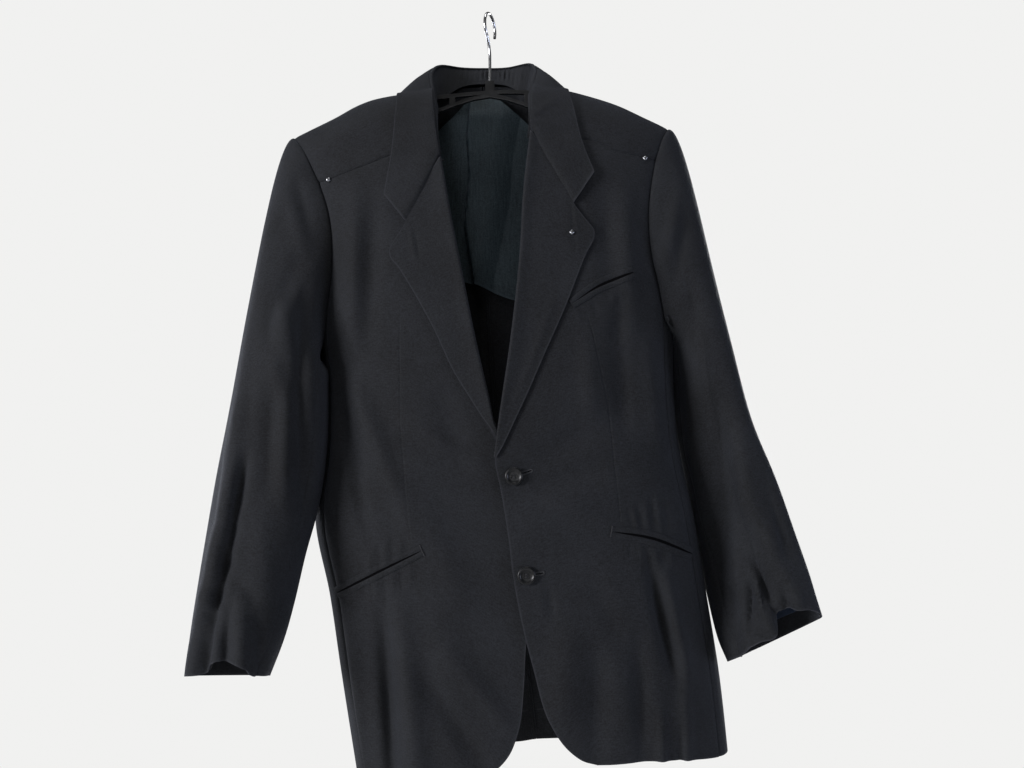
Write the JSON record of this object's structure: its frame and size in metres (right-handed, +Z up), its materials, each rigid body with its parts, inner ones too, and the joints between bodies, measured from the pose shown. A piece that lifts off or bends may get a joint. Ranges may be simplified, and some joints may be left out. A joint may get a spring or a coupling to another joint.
{
  "type": "sport coat on a hanger",
  "caption": "Single-breasted sport coat with notched lapels, a pointed front yoke and jetted pockets, hanging buttoned on a plastic hanger with a wire hook.",
  "frame": {"origin": "inner top of the hook, where the rail carries the hanger", "axes": "+Z up, -Y out of the coat's front, +X towards the wearer's left sleeve"},
  "size_m": [0.6877, 0.1801, 0.8965],
  "materials": {
    "suiting": "fine matt weave with a faint sheen",
    "lining": "satin",
    "button": "polished",
    "stud": "polished",
    "hanger": "moulded, satin",
    "hook": "bright plated wire"
  },
  "bodies": {
    "root": {"back_left": "suiting", "back_lining": "lining", "back_right": "suiting", "button_bottom": "button", "button_top": "button", "collar": "suiting", "collar_stand": "suiting", "front_left": "suiting", "front_right": "suiting", "hanger": "hanger", "hook": "hook", "lapel_left": "suiting", "lapel_right": "suiting", "pocket_breast_lower": "suiting", "pocket_breast_upper": "suiting", "pocket_left_lower": "suiting", "pocket_left_upper": "suiting", "pocket_right_lower": "suiting", "pocket_right_upper": "suiting", "side_left": "suiting", "side_right": "suiting", "stud_lapel": "stud", "stud_yoke_left": "stud", "stud_yoke_right": "stud", "topsleeve_left": "suiting", "topsleeve_right": "suiting", "undersleeve_left": "suiting", "undersleeve_right": "suiting", "yoke_left": "suiting", "yoke_right": "suiting"}
  },
  "joints": []
}
